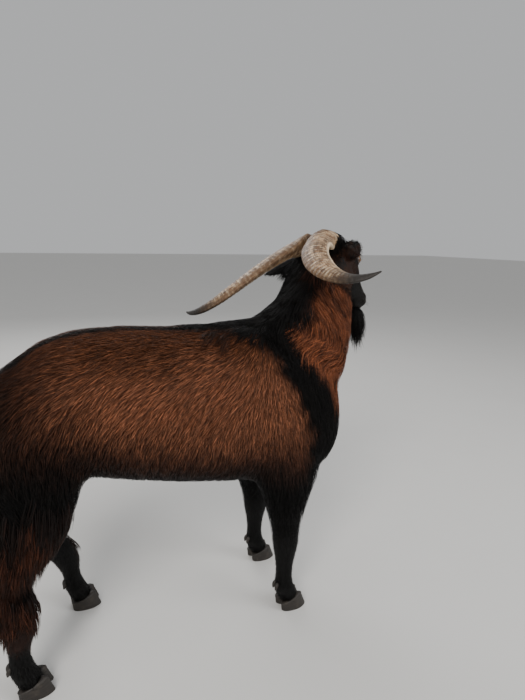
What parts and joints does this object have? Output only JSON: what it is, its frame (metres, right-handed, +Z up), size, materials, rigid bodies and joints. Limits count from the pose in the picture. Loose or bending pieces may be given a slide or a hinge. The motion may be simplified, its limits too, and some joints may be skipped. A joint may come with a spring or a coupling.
{
  "type": "dairy goat model",
  "caption": "Life-size model of a horned, bearded dairy goat buck standing with its head turned, as one rigid piece that rests on its hooves.",
  "frame": {"origin": "middle of the bounding box in plan, at the level of the hoof soles", "axes": "+X the way the goat faces, +Y its left side, +Z up"},
  "size_m": [1.4094, 0.5638, 1.0822],
  "materials": {
    "coat_chestnut": "lying hair, chestnut with lighter tips",
    "coat_brown": "longer hair, dark brown",
    "coat_black": "short and long black hair",
    "horn": "ringed grey-tan horn with dark tips",
    "hoof": "dark grey hoof",
    "eye": "wet amber eye"
  },
  "bodies": {
    "root": {"beard": "coat_black", "breast_hair": "coat_black", "ear_left": "coat_chestnut", "ear_right": "coat_chestnut", "eye_left": "eye", "eye_right": "eye", "forelock": "coat_black", "front_left_hoof_left_claw": "hoof", "front_left_hoof_right_claw": "hoof", "front_left_lower_leg": "coat_black", "front_left_upper_leg": "coat_black", "front_right_hoof_left_claw": "hoof", "front_right_hoof_right_claw": "hoof", "front_right_lower_leg": "coat_black", "front_right_upper_leg": "coat_black", "head": "coat_black", "hind_left_feather": "coat_brown", "hind_left_hoof_left_claw": "hoof", "hind_left_hoof_right_claw": "hoof", "hind_left_lower_leg": "coat_black", "hind_left_skirt": "coat_brown", "hind_left_upper_leg": "coat_black", "hind_right_feather": "coat_brown", "hind_right_hoof_left_claw": "hoof", "hind_right_hoof_right_claw": "hoof", "hind_right_lower_leg": "coat_black", "hind_right_skirt": "coat_brown", "hind_right_upper_leg": "coat_black", "horn_left": "horn", "horn_right": "horn", "mane": "coat_black", "neck": "coat_brown", "tail": "coat_black", "torso": "coat_chestnut"}
  },
  "joints": []
}
